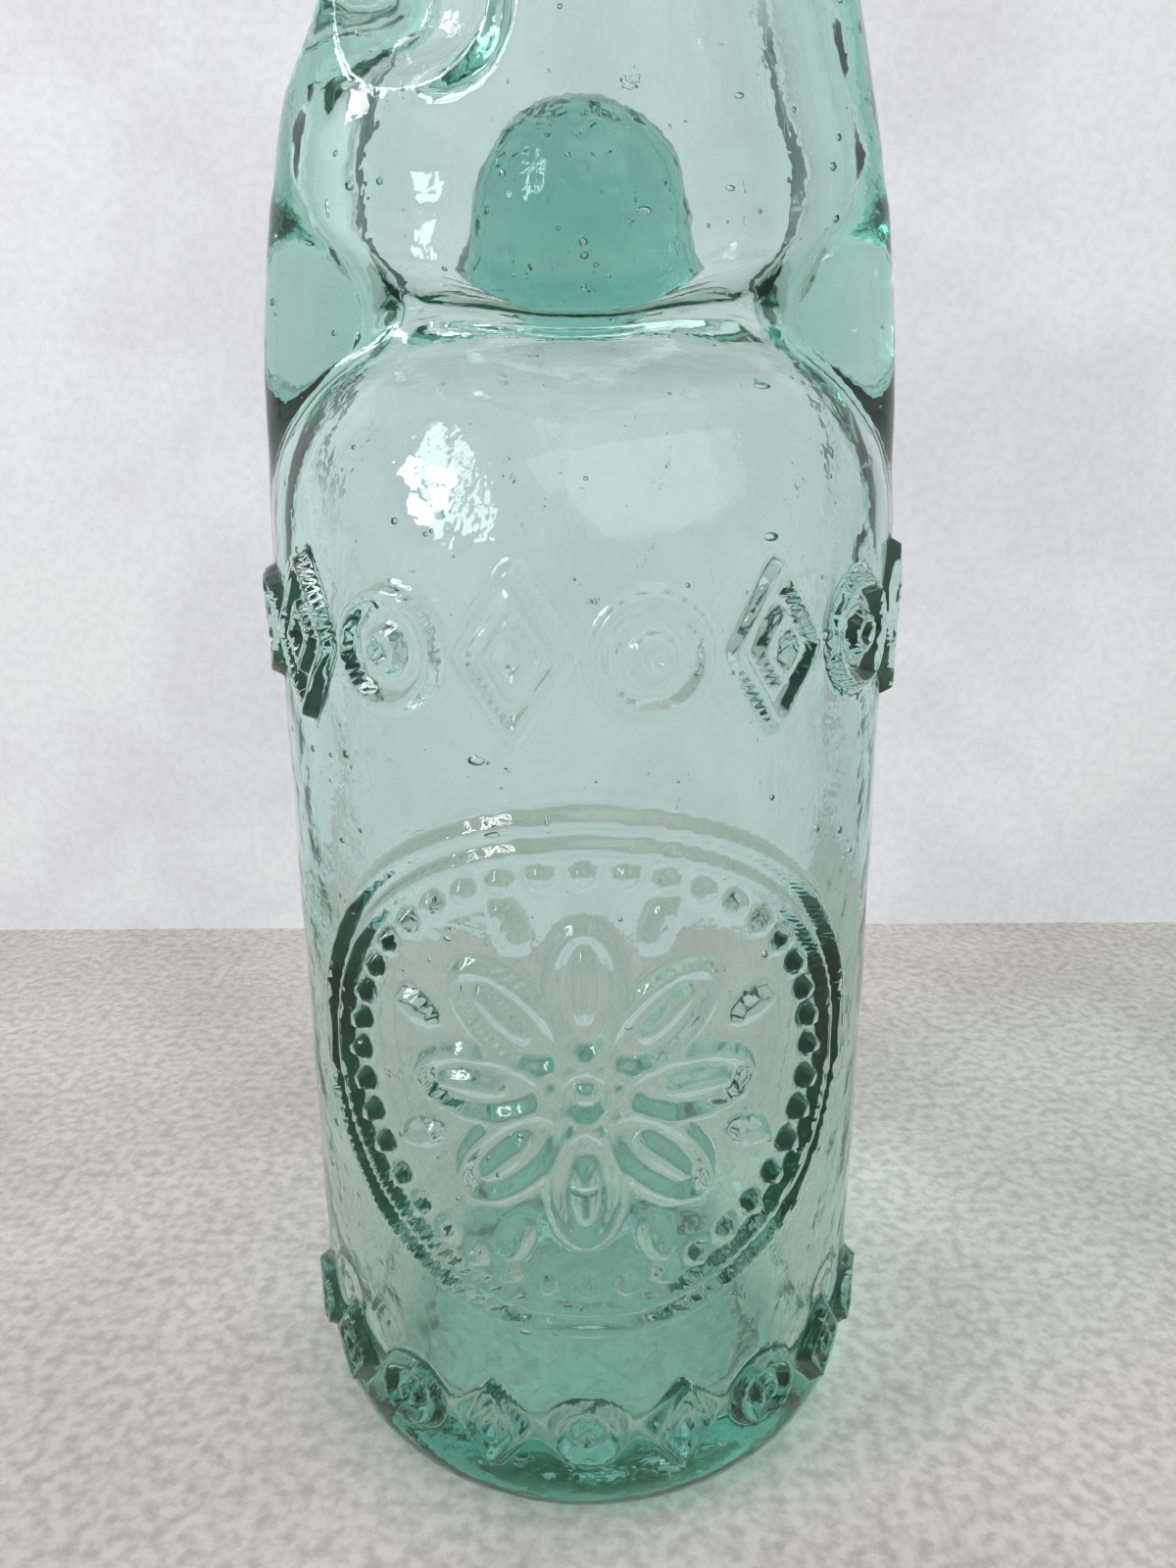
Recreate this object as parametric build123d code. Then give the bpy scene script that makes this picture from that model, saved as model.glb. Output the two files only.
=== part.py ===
from build123d import *
from math import cos, radians, sin, sqrt
import os

# A soda bottle that is stopped by a glass marble. Millimetres, +Z up, origin in the middle of the
# ring that the bottle stands on. The neck is pinched from the front (-Y) and from the back (+Y).

# Body of the bottle
body_radius = 28.5
body_wall = 4.5
heel_radius = 9.0
standing_width = 2.5
push_up = 2.5
floor_thickness = 8.0
floor_corner_radius = 6.0

# Pinched waist, where the throat holds the marble out of the body
waist_height = 111.0
shoulder_rise = 27.0
waist_half_width = 27.7
waist_wall = 4.2
waist_corner_angle = 68.0
throat_half_width = 14.8
throat_half_gap = 7.2
throat_corner_angle = 80.0
throat_reach = 6.0

# Chamber above the waist, in which the marble rolls about
chamber_swell = 2.4
chamber_length = 15.0
chamber_half_width = 26.4
chamber_wall = 4.1
chamber_side_wall = 6.6
chamber_room = 0.9
chamber_corner_angle = 62.0
chamber_top_half_width = 23.2
chamber_top_corner_angle = 57.0

# Neck and lip
taper_length = 22.0
neck_length = 10.0
neck_wall = 4.1
round_corner_angle = 45.0
lip_height = 20.0
lip_step = 1.1
lip_foot_rise = 1.6
lip_top_round = 3.0
mouth_radius = 8.4
mouth_round = 1.2

# Marble and rubber ring
marble_radius = 10.0
seat_gap = 0.2
neck_clearance = 0.4
ring_cord_radius = 2.0
ring_depth = 6.4
ring_gap = 0.1
ring_bite = 0.6

# Two lugs that are pressed into the chamber from outside, on the left of the front
lug_count = 2
lug_rise = 0.5
lug_height_step = -3.0
lug_first_angle = 187.0
lug_angle_step = 42.0
lug_dimple_radius = 5.4
lug_wall = 2.9
lug_clearance = 0.5

# Sections on the way from the body to the waist: share of the height, of the change in half
# width, of the change in half depth and of the change in corner angle
shoulder_shares = (
    (0.12, 0.00, 0.010, 0.10),
    (0.30, 0.02, 0.050, 0.25),
    (0.50, 0.07, 0.155, 0.45),
    (0.68, 0.20, 0.330, 0.65),
    (0.82, 0.42, 0.610, 0.80),
    (0.92, 0.70, 0.870, 0.92),
)
pinch_shares = (
    (0.25, 0.22, 0.31, 0.25),
    (0.50, 0.46, 0.66, 0.50),
    (0.75, 0.72, 0.90, 0.75),
)
chamber_shares = ((0.50, 0.46, 0.50, 0.50),)
neck_shares = (
    (0.27, 0.23, 0.15, 0.25),
    (0.50, 0.50, 0.40, 0.50),
    (0.73, 0.78, 0.70, 0.75),
    (0.88, 0.95, 0.92, 0.90),
)
# Hollow of the body under the throat: share of the height, of the half width given up and of the
# half depth given up
dome_shares = (
    (0.12, 0.00, 0.010, 0.10),
    (0.30, 0.01, 0.050, 0.25),
    (0.52, 0.03, 0.170, 0.45),
    (0.72, 0.09, 0.400, 0.65),
    (0.87, 0.24, 0.680, 0.80),
    (0.96, 0.50, 0.890, 0.92),
)
dome_top_width_share = 0.55
bowl_shares = (0.30, 0.52, 0.74)
bowl_depth_share = 1.05
seat_band = 0.4
seat_ledge = 0.4

# One overrun for every cut that has to run past a face
overrun = 1.0

# The bottle stands on a flat ring inside its rounded heel. The underside within the ring is a
# shallow ball-shaped dish, and the floor inside follows it.
standing_radius = body_radius - heel_radius - standing_width
dish_radius = (standing_radius**2 + push_up**2) / (2 * push_up)
dish_centre = push_up - dish_radius

# The resting marble all but touches the upper edge of the throat.
throat_top = waist_height + seat_band
throat_bottom = waist_height - seat_band
seat_radius = marble_radius + seat_gap
marble_height = throat_top + sqrt(seat_radius**2 - throat_half_gap**2)

# Heights, from the straight body up to the rim
body_top = waist_height - shoulder_rise
chamber_height = marble_height + chamber_swell
chamber_top = chamber_height + chamber_length
lug_height = chamber_top + lug_rise
neck_foot = chamber_top + taper_length
lip_foot = neck_foot + neck_length
bottle_height = lip_foot + lip_height

# Depths and radii, from the marble outwards
waist_half_depth = throat_half_gap + waist_wall
bore_radius = marble_radius + neck_clearance
chamber_hollow_depth = marble_radius + chamber_room
chamber_half_depth = chamber_hollow_depth + chamber_wall
neck_radius = bore_radius + neck_wall
lip_radius = neck_radius + lip_step

# The ring lies in a groove under the mouth, and its hole is smaller than the marble.
ring_height = bottle_height - ring_depth
ring_radius = bore_radius + ring_bite - ring_gap - ring_cord_radius


def oval(height, half_width, half_depth, corner_angle):
    """Level face of four tangent arcs; with equal half width and half depth it is a circle."""
    turn = radians(corner_angle)
    radius_step = (half_width - half_depth) / (sin(turn) + cos(turn) - 1)
    end_radius = half_width - radius_step * cos(turn)
    end_centre = half_width - end_radius
    corner_x = end_centre + end_radius * cos(turn)
    corner_y = end_radius * sin(turn)
    arcs = []
    for side in (1, -1):
        arcs.append(ThreePointArc(
            (side * corner_x, -side * corner_y), (side * half_width, 0), (side * corner_x, side * corner_y)))
        arcs.append(ThreePointArc(
            (side * corner_x, side * corner_y), (0, side * half_depth), (-side * corner_x, side * corner_y)))
    return Pos(0, 0, height) * Face(Wire(arcs))


def stations(start, end, shares):
    """Sections between two named ones, each given as height, half width, half depth, angle."""
    rows = []
    for row in shares:
        rows.append(tuple(low + (high - low) * share for low, high, share in zip(start, end, row)))
    return rows


def lofted(rows):
    """Smooth solid through a list of sections."""
    return loft([oval(*row) for row in rows])


def outer_form():
    """Everything inside the outer skin: foot and body, pinched shoulder and chamber, neck, lip."""
    body_end = (body_top, body_radius, body_radius, round_corner_angle)
    waist = (waist_height, waist_half_width, waist_half_depth, waist_corner_angle)
    chamber = (chamber_height, chamber_half_width, chamber_half_depth, chamber_corner_angle)
    top = (chamber_top, chamber_top_half_width, chamber_half_depth, chamber_top_corner_angle)
    neck = (neck_foot, neck_radius, neck_radius, round_corner_angle)
    rows = [body_end] + stations(body_end, waist, shoulder_shares)
    rows += [waist] + stations(waist, chamber, pinch_shares)
    rows += [chamber] + stations(chamber, top, chamber_shares)
    rows += [top] + stations(top, neck, neck_shares) + [neck]
    return body_form() + lofted(rows) + neck_form()


def body_form():
    """Straight body on a rounded heel, dished a little underneath."""
    solid = Cylinder(body_radius, body_top, align=(Align.CENTER, Align.CENTER, Align.MIN))
    solid = fillet(solid.edges().sort_by(Axis.Z)[0], heel_radius)
    return solid - Pos(0, 0, dish_centre) * Sphere(dish_radius)


def neck_form():
    """Round neck with the thicker lip that is laid on its end."""
    outline = Polyline(
        (0, neck_foot),
        (neck_radius, neck_foot),
        (neck_radius, lip_foot),
        (lip_radius, lip_foot + lip_foot_rise),
        (lip_radius, bottle_height),
        (0, bottle_height),
        close=True,
    )
    solid = revolve(make_face(Plane.XZ * outline), Axis.Z)
    rim = solid.edges().filter_by(GeomType.CIRCLE).sort_by(Axis.Z)[-1]
    return fillet(rim, lip_top_round)


def body_hollow():
    """Inside of the body, from its thick floor up to the dome under the throat."""
    hollow_radius = body_radius - body_wall
    floor_radius = dish_radius + floor_thickness
    floor_edge = dish_centre + sqrt(floor_radius**2 - (hollow_radius - floor_corner_radius) ** 2)
    straight = Pos(0, 0, floor_edge) * Cylinder(
        hollow_radius, body_top - floor_edge, align=(Align.CENTER, Align.CENTER, Align.MIN))
    straight = fillet(straight.edges().sort_by(Axis.Z)[0], floor_corner_radius)
    straight -= Pos(0, 0, dish_centre) * Sphere(floor_radius)
    low = (body_top, hollow_radius, hollow_radius, round_corner_angle)
    high = (throat_bottom, throat_half_width * dome_top_width_share, throat_half_gap + seat_ledge,
            waist_corner_angle)
    return straight + lofted([low] + stations(low, high, dome_shares) + [high])


def throat():
    """Flat slot at the waist, narrower than the marble."""
    slot = oval(waist_height - throat_reach, throat_half_width, throat_half_gap, throat_corner_angle)
    return extrude(slot, 2 * throat_reach)


def chamber_hollow():
    """Inside of the chamber: a bowl that cups the resting marble, then the way up to the neck."""
    side = chamber_half_width - chamber_side_wall
    bowl_radius = seat_radius + seat_ledge
    drop = marble_height - throat_top
    rows = []
    for share in (0,) + bowl_shares:
        below = drop * (1 - share)
        half_width = side * sqrt(1 - (below / (drop * bowl_depth_share)) ** 2)
        half_depth = sqrt(bowl_radius**2 - below**2)
        rows.append((marble_height - below, half_width, half_depth, waist_corner_angle))
    full = (chamber_height, side, chamber_hollow_depth, chamber_corner_angle)
    top = (chamber_top, chamber_top_half_width - chamber_side_wall, chamber_hollow_depth,
           chamber_top_corner_angle)
    neck = (neck_foot, bore_radius, bore_radius, round_corner_angle)
    rows += [full] + stations(full, top, chamber_shares)
    rows += [top] + stations(top, neck, neck_shares) + [neck]
    return lofted(rows)


def neck_bore():
    """Bore that lets the marble rise to the ring, the ring's groove and the rounded mouth."""
    rise = ring_height - neck_foot
    bore = Pos(0, 0, neck_foot) * Cylinder(
        bore_radius, rise, align=(Align.CENTER, Align.CENTER, Align.MIN))
    groove = Pos(0, 0, ring_height) * Torus(ring_radius, ring_cord_radius + ring_gap)
    core = Pos(0, 0, ring_height) * Cylinder(
        ring_radius, 2 * (ring_cord_radius + ring_gap))
    opening = Pos(0, 0, ring_height) * Cylinder(
        mouth_radius, ring_depth + overrun, align=(Align.CENTER, Align.CENTER, Align.MIN))
    return bore + groove + core + opening


def lug_tool(radius):
    """Round-ended pin for each lug, pointing at the axis, with its tips at the same centres."""
    centre = marble_radius + lug_clearance + lug_wall + lug_dimple_radius
    reach = body_radius - centre + overrun
    tools = []
    for index in range(lug_count):
        height = lug_height + index * lug_height_step
        place = Pos(0, 0, height) * Rot(0, 0, lug_first_angle + index * lug_angle_step)
        pin = Pos(centre, 0, 0) * (Sphere(radius) + Rot(0, 90, 0) * Cylinder(
            radius, reach, align=(Align.CENTER, Align.CENTER, Align.MIN)))
        tools.append(place * pin)
    return tools


def bottle_glass():
    """The bottle as one piece of glass, with its lip laid on while hot."""
    outer = outer_form()
    glass = outer - body_hollow() - throat() - chamber_hollow() - neck_bore()
    for knob in lug_tool(lug_dimple_radius + lug_wall):
        glass += knob & outer
    for dimple in lug_tool(lug_dimple_radius):
        glass -= dimple
    rim = glass.edges().filter_by(GeomType.CIRCLE).group_by(Axis.Z)[-1].sort_by(SortBy.RADIUS)[0]
    return fillet(rim, mouth_round)


def glass_marble():
    """The stopper, at rest on the throat."""
    return Pos(0, 0, marble_height) * Sphere(marble_radius)


def sealing_ring():
    """Rubber ring in the groove under the mouth, which the marble closes from below."""
    return Pos(0, 0, ring_height) * Torus(ring_radius, ring_cord_radius)


# Where the risen marble meets the ring, and how far it travels to get there
sealed_height = ring_height - sqrt((seat_radius + ring_cord_radius) ** 2 - ring_radius**2)
marble_travel = sealed_height - marble_height

os.makedirs("parts", exist_ok=True)
export_step(bottle_glass(), "parts/bottle_glass.step")
export_step(glass_marble(), "parts/glass_marble.step")
export_step(sealing_ring(), "parts/sealing_ring.step")
print("marble at rest", marble_height, "travel", marble_travel)
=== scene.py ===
import bpy
import math
import numpy as np
from mathutils import Matrix, Vector


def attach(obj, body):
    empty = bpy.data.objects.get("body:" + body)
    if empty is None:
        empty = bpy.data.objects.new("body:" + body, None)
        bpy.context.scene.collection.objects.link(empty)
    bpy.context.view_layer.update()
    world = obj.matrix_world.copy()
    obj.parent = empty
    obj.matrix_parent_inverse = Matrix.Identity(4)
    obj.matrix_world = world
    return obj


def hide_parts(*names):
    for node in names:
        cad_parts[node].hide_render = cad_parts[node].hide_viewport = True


# The looks of a marble stopper bottle in aqua glass. Lengths are in millimetres up to the making of
# a mesh, which turns them into metres. +Z is up and -Y is the front of the photograph.
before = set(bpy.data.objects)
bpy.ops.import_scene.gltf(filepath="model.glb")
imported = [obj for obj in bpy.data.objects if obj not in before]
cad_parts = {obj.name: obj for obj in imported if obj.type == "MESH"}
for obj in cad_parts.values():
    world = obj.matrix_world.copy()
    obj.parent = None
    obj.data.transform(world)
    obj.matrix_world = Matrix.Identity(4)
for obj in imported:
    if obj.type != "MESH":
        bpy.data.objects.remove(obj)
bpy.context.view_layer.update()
MM = 0.001

# ---------------------------------------------------------------- sizes, as in the solids
BODY_RADIUS = 28.5
BODY_WALL = 4.5
HEEL_RADIUS = 9.0
STANDING_RADIUS = 17.0
PUSH_UP = 2.5
DISH_RADIUS = 59.05
DISH_CENTRE = PUSH_UP - DISH_RADIUS
FLOOR_THICKNESS = 8.0
FLOOR_CORNER_RADIUS = 6.0
BODY_TOP = 84.0
SLOT_HALF_WIDTH = 14.8
SLOT_HALF_GAP = 6.6
SLOT_FOOT = 107.6
SLOT_TOP = 113.0
MARBLE_RADIUS = 10.0
MARBLE_HEIGHT = 118.625
CHAMBER = 121.025
NECK_FOOT = 158.025
LIP_FOOT = 168.025
RIM = 188.025
NECK_RADIUS = 14.5
LIP_RADIUS = 15.6
BORE_RADIUS = 10.4
MOUTH_RADIUS = 8.4
RING_HEIGHT = 181.625
RING_RADIUS = 8.9
GROOVE_RADIUS = 2.1
LUGS = ((187.0, 136.525), (229.0, 132.8))
LUG_CENTRE = 18.8
DIMPLE_RADIUS = 5.4
DIMPLE_ROUNDING = 1.6
KNOB_RADIUS = 8.3
KNOB_ROUNDING = 1.2
# Further from the axis than any glass, where a direction meets no knob
NO_KNOB = 60.0

# Shoulder and chamber as they swell out of the flat plate at the waist: height, half width, half
# depth and squareness, where 2 is an ellipse
SWELL = (
    (84.0, 28.5, 28.5, 2.0), (89.0, 28.5, 28.2, 2.0), (93.0, 28.3, 27.5, 2.02),
    (97.0, 27.8, 25.8, 2.1), (100.5, 26.6, 23.4, 2.25), (103.2, 24.9, 20.4, 2.45),
    (106.0, 22.4, 16.4, 2.8), (107.8, 20.2, 13.6, 3.2), (109.0, 18.2, 11.9, 3.6),
    (109.7, 15.4, 10.9, 3.6), (110.1, 10.5, 10.7, 2.6), (110.9, 12.2, 11.6, 2.6),
    (112.0, 15.8, 12.6, 2.7), (113.4, 19.4, 13.6, 2.8), (116.0, 23.2, 14.7, 2.7),
    (119.0, 25.6, 15.0, 2.6), (121.0, 26.2, 15.0, 2.5), (124.0, 25.9, 15.0, 2.5),
    (128.5, 24.93, 15.0, 2.5),
)
# Outer skin from the chamber to the neck, and the half width of the plate below it
OUTER = (
    (84.0, 28.5, 28.5, 2.0), (97.5, 28.44, 25.85, 2.2), (106.14, 28.16, 18.07, 2.4),
    (111.0, 27.7, 11.4, 2.5), (116.0, 27.1, 13.78, 2.5), (121.03, 26.4, 15.0, 2.5),
    (128.53, 24.93, 15.0, 2.4), (136.03, 23.2, 15.0, 2.3), (141.97, 21.2, 14.93, 2.2),
    (147.03, 18.85, 14.8, 2.1), (152.09, 16.41, 14.65, 2.03), (155.39, 14.94, 14.54, 2.0),
    (158.03, 14.5, 14.5, 2.0),
)
# How far the foot of the chamber hangs down in the middle and is drawn up at the sides
MIDDLE_SAG = 0.9
SIDE_LIFT = 2.2
SAG_FOOT = 107.2
SAG_FULL = 109.6
SAG_FADING = 112.5
SAG_TOP = 118.5
PLATE_HALF_DEPTH = 11.4
PLATE_SQUARENESS = 3.4
PLATE_NARROWING = 1.5
# Heights over which the plate narrows, and over which the plain outer skin takes over from it
PLATE_NARROWS = (119, 124)
SKIN_TAKES_OVER = (120, 127)
# Hollow: dome under the throat, waist and the chamber above it
HOLLOW = (
    (84.0, 24.0, 24.0, 2.0), (88.0, 24.0, 23.8, 2.0), (92.0, 24.0, 23.1, 2.0),
    (96.5, 23.8, 21.0, 2.05), (100.3, 22.9, 18.4, 2.15), (103.2, 21.5, 15.3, 2.3),
    (106.0, 19.5, 11.7, 2.5), (108.0, 18.4, 8.9, 2.8), (109.6, 18.1, 6.9, 3.0),
    (110.7, 18.1, 6.9, 3.0), (111.5, 18.2, 8.2, 2.8), (112.7, 18.5, 9.4, 2.7),
    (114.5, 19.2, 10.4, 2.5), (117.0, 20.0, 10.9, 2.3), (119.0, 20.5, 10.95, 2.2),
    (121.0, 20.6, 10.9, 2.1), (128.5, 18.9, 10.9, 2.1), (136.0, 17.0, 10.9, 2.05),
    (142.0, 15.2, 10.83, 2.0), (147.0, 13.5, 10.7, 2.0), (152.0, 11.76, 10.55, 2.0),
    (155.4, 10.71, 10.44, 2.0), (158.03, 10.4, 10.4, 2.0),
)
# Folds in the two sides of the hollow, where the pinched glass closed on itself
FOLD_FOOT = 91.0
FOLD_TOP = 141.0
FOLD_DEPTH = 0.9
FOLD_HALF_ANGLE = 2.3

# ---------------------------------------------------------------- shapes of the glass skin


def smooth_low(a, b, reach):
    """Smaller of two surfaces, with their meeting rounded over a reach."""
    h = np.clip(0.5 + 0.5 * (b - a) / reach, 0, 1)
    return b * (1 - h) + a * h - reach * h * (1 - h)


def smooth_high(a, b, reach):
    return -smooth_low(-a, -b, reach)


def ease(value, low, high):
    """Smooth rise from 0 at low to 1 at high."""
    share = np.clip((value - low) / (high - low), 0, 1)
    return share * share * (3 - 2 * share)


def through(stations, height):
    """Half width, half depth and squareness at a height, on smooth curves through the stations."""
    table = np.array(stations)
    z, values = table[:, 0], table[:, 1:]
    step = np.diff(z)
    slope = np.diff(values, axis=0) / step[:, None]
    tangent = np.zeros_like(values)
    weighed = slope[:-1] * step[1:, None] + slope[1:] * step[:-1, None]
    tangent[1:-1] = weighed / (step[1:] + step[:-1])[:, None]
    turning = np.zeros(values.shape, bool)
    turning[1:-1] = slope[:-1] * slope[1:] <= 0
    tangent[turning] = 0
    i = int(np.clip(np.searchsorted(z, height) - 1, 0, len(step) - 1))
    t = float(np.clip((height - z[i]) / step[i], 0, 1))
    return (values[i] * (2 * t ** 3 - 3 * t * t + 1) + values[i + 1] * (3 * t * t - 2 * t ** 3)
            + tangent[i] * step[i] * (t ** 3 - 2 * t * t + t)
            + tangent[i + 1] * step[i] * (t ** 3 - t * t))


def rounded(angles, half_width, half_depth, squareness):
    """Distance from the axis to an ellipse, or to a squarer figure, in each direction."""
    across, along = np.abs(np.cos(angles)) / half_width, np.abs(np.sin(angles)) / half_depth
    return (across ** squareness + along ** squareness) ** (-1 / squareness)


def swell_radius(angles, height):
    """Shoulder and chamber at a height. The chamber's foot hangs lower in the middle of the front
    and the back than at their sides, where the pinching tool let go of it."""
    hang = ease(height, SAG_FOOT, SAG_FULL) * (1 - ease(height, SAG_FADING, SAG_TOP))
    if hang == 0:
        return rounded(angles, *through(SWELL, height))
    levels = height + hang * (MIDDLE_SAG - SIDE_LIFT * np.minimum(2 * np.cos(angles) ** 2, 1))
    forms = np.array([through(SWELL, level) for level in levels])
    return rounded(angles, forms[:, 0], forms[:, 1], forms[:, 2])


def outer_radius(angles, height):
    """Outside between body and neck: shoulder and chamber on the plate that the pinch left."""
    swell = swell_radius(angles, height)
    skin = rounded(angles, *through(OUTER, height))
    plate_width = through(OUTER, height)[0] - PLATE_NARROWING * ease(height, *PLATE_NARROWS)
    plate = rounded(angles, plate_width, PLATE_HALF_DEPTH, PLATE_SQUARENESS)
    share = ease(height, *SKIN_TAKES_OVER)
    return smooth_high(swell, plate, 1.0) * (1 - share) + skin * share


def lug_frame(points, angle, height):
    """Distance along a lug's pin from the bottle's axis, distance from the pin's own axis, and the
    pin's direction."""
    turn = math.radians(angle)
    along = points[:, 0] * math.cos(turn) + points[:, 1] * math.sin(turn)
    beside = -points[:, 0] * math.sin(turn) + points[:, 1] * math.cos(turn)
    direction = np.array([math.cos(turn), math.sin(turn), 0])
    return along, np.hypot(beside, points[:, 2] - height), direction


def press_dimples(points):
    """Pushes the outer skin in where the two lugs were pinched into the hot glass."""
    for angle, height in LUGS:
        along, away, direction = lug_frame(points, angle, height)
        edge = 0.92 * DIMPLE_RADIUS
        depth = np.sqrt(DIMPLE_RADIUS ** 2 - np.minimum(away, edge) ** 2)
        floor = LUG_CENTRE - depth + np.maximum(away - edge, 0) * 2.3
        pressed = np.where(along > 0, smooth_low(along, floor, DIMPLE_ROUNDING), along)
        points = points + (pressed - along)[:, None] * direction
    return points


def knob_radius(angles, height):
    """Distance from the axis to the knobs that the lugs raise inside the chamber."""
    nearest = np.full(len(angles), NO_KNOB)
    for angle, lug_height in LUGS:
        turn = math.radians(angle)
        middle = LUG_CENTRE * np.cos(angles - turn)
        inside = middle ** 2 - LUG_CENTRE ** 2 + KNOB_RADIUS ** 2 - (height - lug_height) ** 2
        reached = middle - np.sqrt(np.maximum(inside, 0))
        hit = np.where((inside > 0) & (middle > 0), reached, NO_KNOB)
        nearest = np.minimum(nearest, hit)
    return nearest


def fold_depth(angles, height):
    """Uneven groove along both sides of the hollow, where the pinched glass closed on itself."""
    reach = FOLD_DEPTH * ease(height, FOLD_FOOT, FOLD_FOOT + 4)
    reach = reach * (1 - ease(height, FOLD_TOP - 5, FOLD_TOP))
    depth = np.zeros(len(angles))
    for side, start in ((0.0, 0.4), (math.pi, 2.1)):
        wobble = 0.55 * math.sin(0.42 * height + start) + 0.35 * math.sin(1.13 * height + 2 * start)
        turned = np.degrees((angles - side + math.pi) % (2 * math.pi) - math.pi) - wobble
        uneven = (0.75 + 0.3 * math.sin(0.77 * height + 3 * start)
                  + 0.2 * math.sin(1.9 * height + start))
        depth += reach * uneven * np.maximum(1 - np.abs(turned) / FOLD_HALF_ANGLE, 0) ** 1.3
    return depth


def inner_radius(angles, height):
    """Hollow of the bottle at a height: dome, slot of the throat, bowl and chamber as one skin."""
    radius = rounded(angles, *through(HOLLOW, height))
    if SLOT_FOOT < height < SLOT_TOP:
        slot = smooth_low(SLOT_HALF_WIDTH / np.maximum(np.abs(np.cos(angles)), 1e-6),
                          SLOT_HALF_GAP / np.maximum(np.abs(np.sin(angles)), 1e-6), 0.6)
        radius = smooth_high(radius, slot, 0.25)
    radius = radius + fold_depth(angles, height)
    if height > CHAMBER:
        radius = smooth_low(radius, knob_radius(angles, height), KNOB_ROUNDING)
    return radius


# ---------------------------------------------------------------- the bottle's mesh

FRONT = 270.0
FRONT_REACH = 80.0
FRONT_COLUMNS = 190
SIDE_OFFSETS = (-10, -8.2, -6.5, -5, -3.8, -2.9, -2.2, -1.6, -1.1, -0.65, -0.2,
                0.2, 0.65, 1.1, 1.6, 2.2, 2.9, 3.8, 5, 6.5, 8.2)
BACK_COLUMNS = 34
ORNAMENT_FOOT = 8.0
ORNAMENT_TOP = 93.0
ROW_STEP = 0.55
# Runs of rows (start, end, spacing): outside above the ornament, and down the hollow
UPPER_RUNS = ((ORNAMENT_TOP + 1, 104, 1.1), (104, 120, 0.8), (120, 143, 1.0), (143, 157.6, 1.5))
HOLLOW_RUNS = ((156.8, 145, 1.5), (145, 124, 1.05), (124, 115, 0.9), (115, 108.4, 0.25),
               (108.4, 100, 0.8), (100, BODY_TOP, 1.4))
# Radius and height of the small step from the neck to the lip
LIP_STEP = (
    (14.53, 167.95), (14.7, 168.1), (15.05, 168.35), (15.38, 168.9), (15.55, 169.6), (15.6, 170.4),
)
LIP_ROUND = 3
MOUTH_ROUND = 1.2
# Where the ornament's sheet doesn't reach, points are moved this far off it
OFF_THE_SHEET = 500.0


def column_angles():
    """Directions of the mesh's columns, in radians, and the numbers of those that every ring has.
    They are close together at the ornamented front and at the folds in both sides."""
    front = FRONT - FRONT_REACH + np.arange(FRONT_COLUMNS) * 2 * FRONT_REACH / FRONT_COLUMNS
    sides = np.array(SIDE_OFFSETS)
    back = 370.0 + np.arange(BACK_COLUMNS) * 160.0 / BACK_COLUMNS
    angles = np.concatenate([front, 360.0 + sides, back, 540.0 + sides])
    kept = np.concatenate([np.arange(0, FRONT_COLUMNS, 2), np.arange(FRONT_COLUMNS, len(angles))])
    return np.radians(angles), kept


def heights(*runs):
    """Heights from runs of (start, end, spacing), each without its end, and the last end."""
    levels = []
    for start, end, spacing in runs:
        count = max(1, round(abs(end - start) / spacing))
        levels += [start + (end - start) * i / count for i in range(count)]
    return levels + [runs[-1][1]]


def arc(centre_radius, centre_height, size, start, end, count):
    """Radius and height of points along an arc in the bottle's section."""
    turns = [math.radians(a) for a in np.linspace(start, end, count)]
    return [(centre_radius + size * math.cos(turn), centre_height + size * math.sin(turn))
            for turn in turns]


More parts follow.
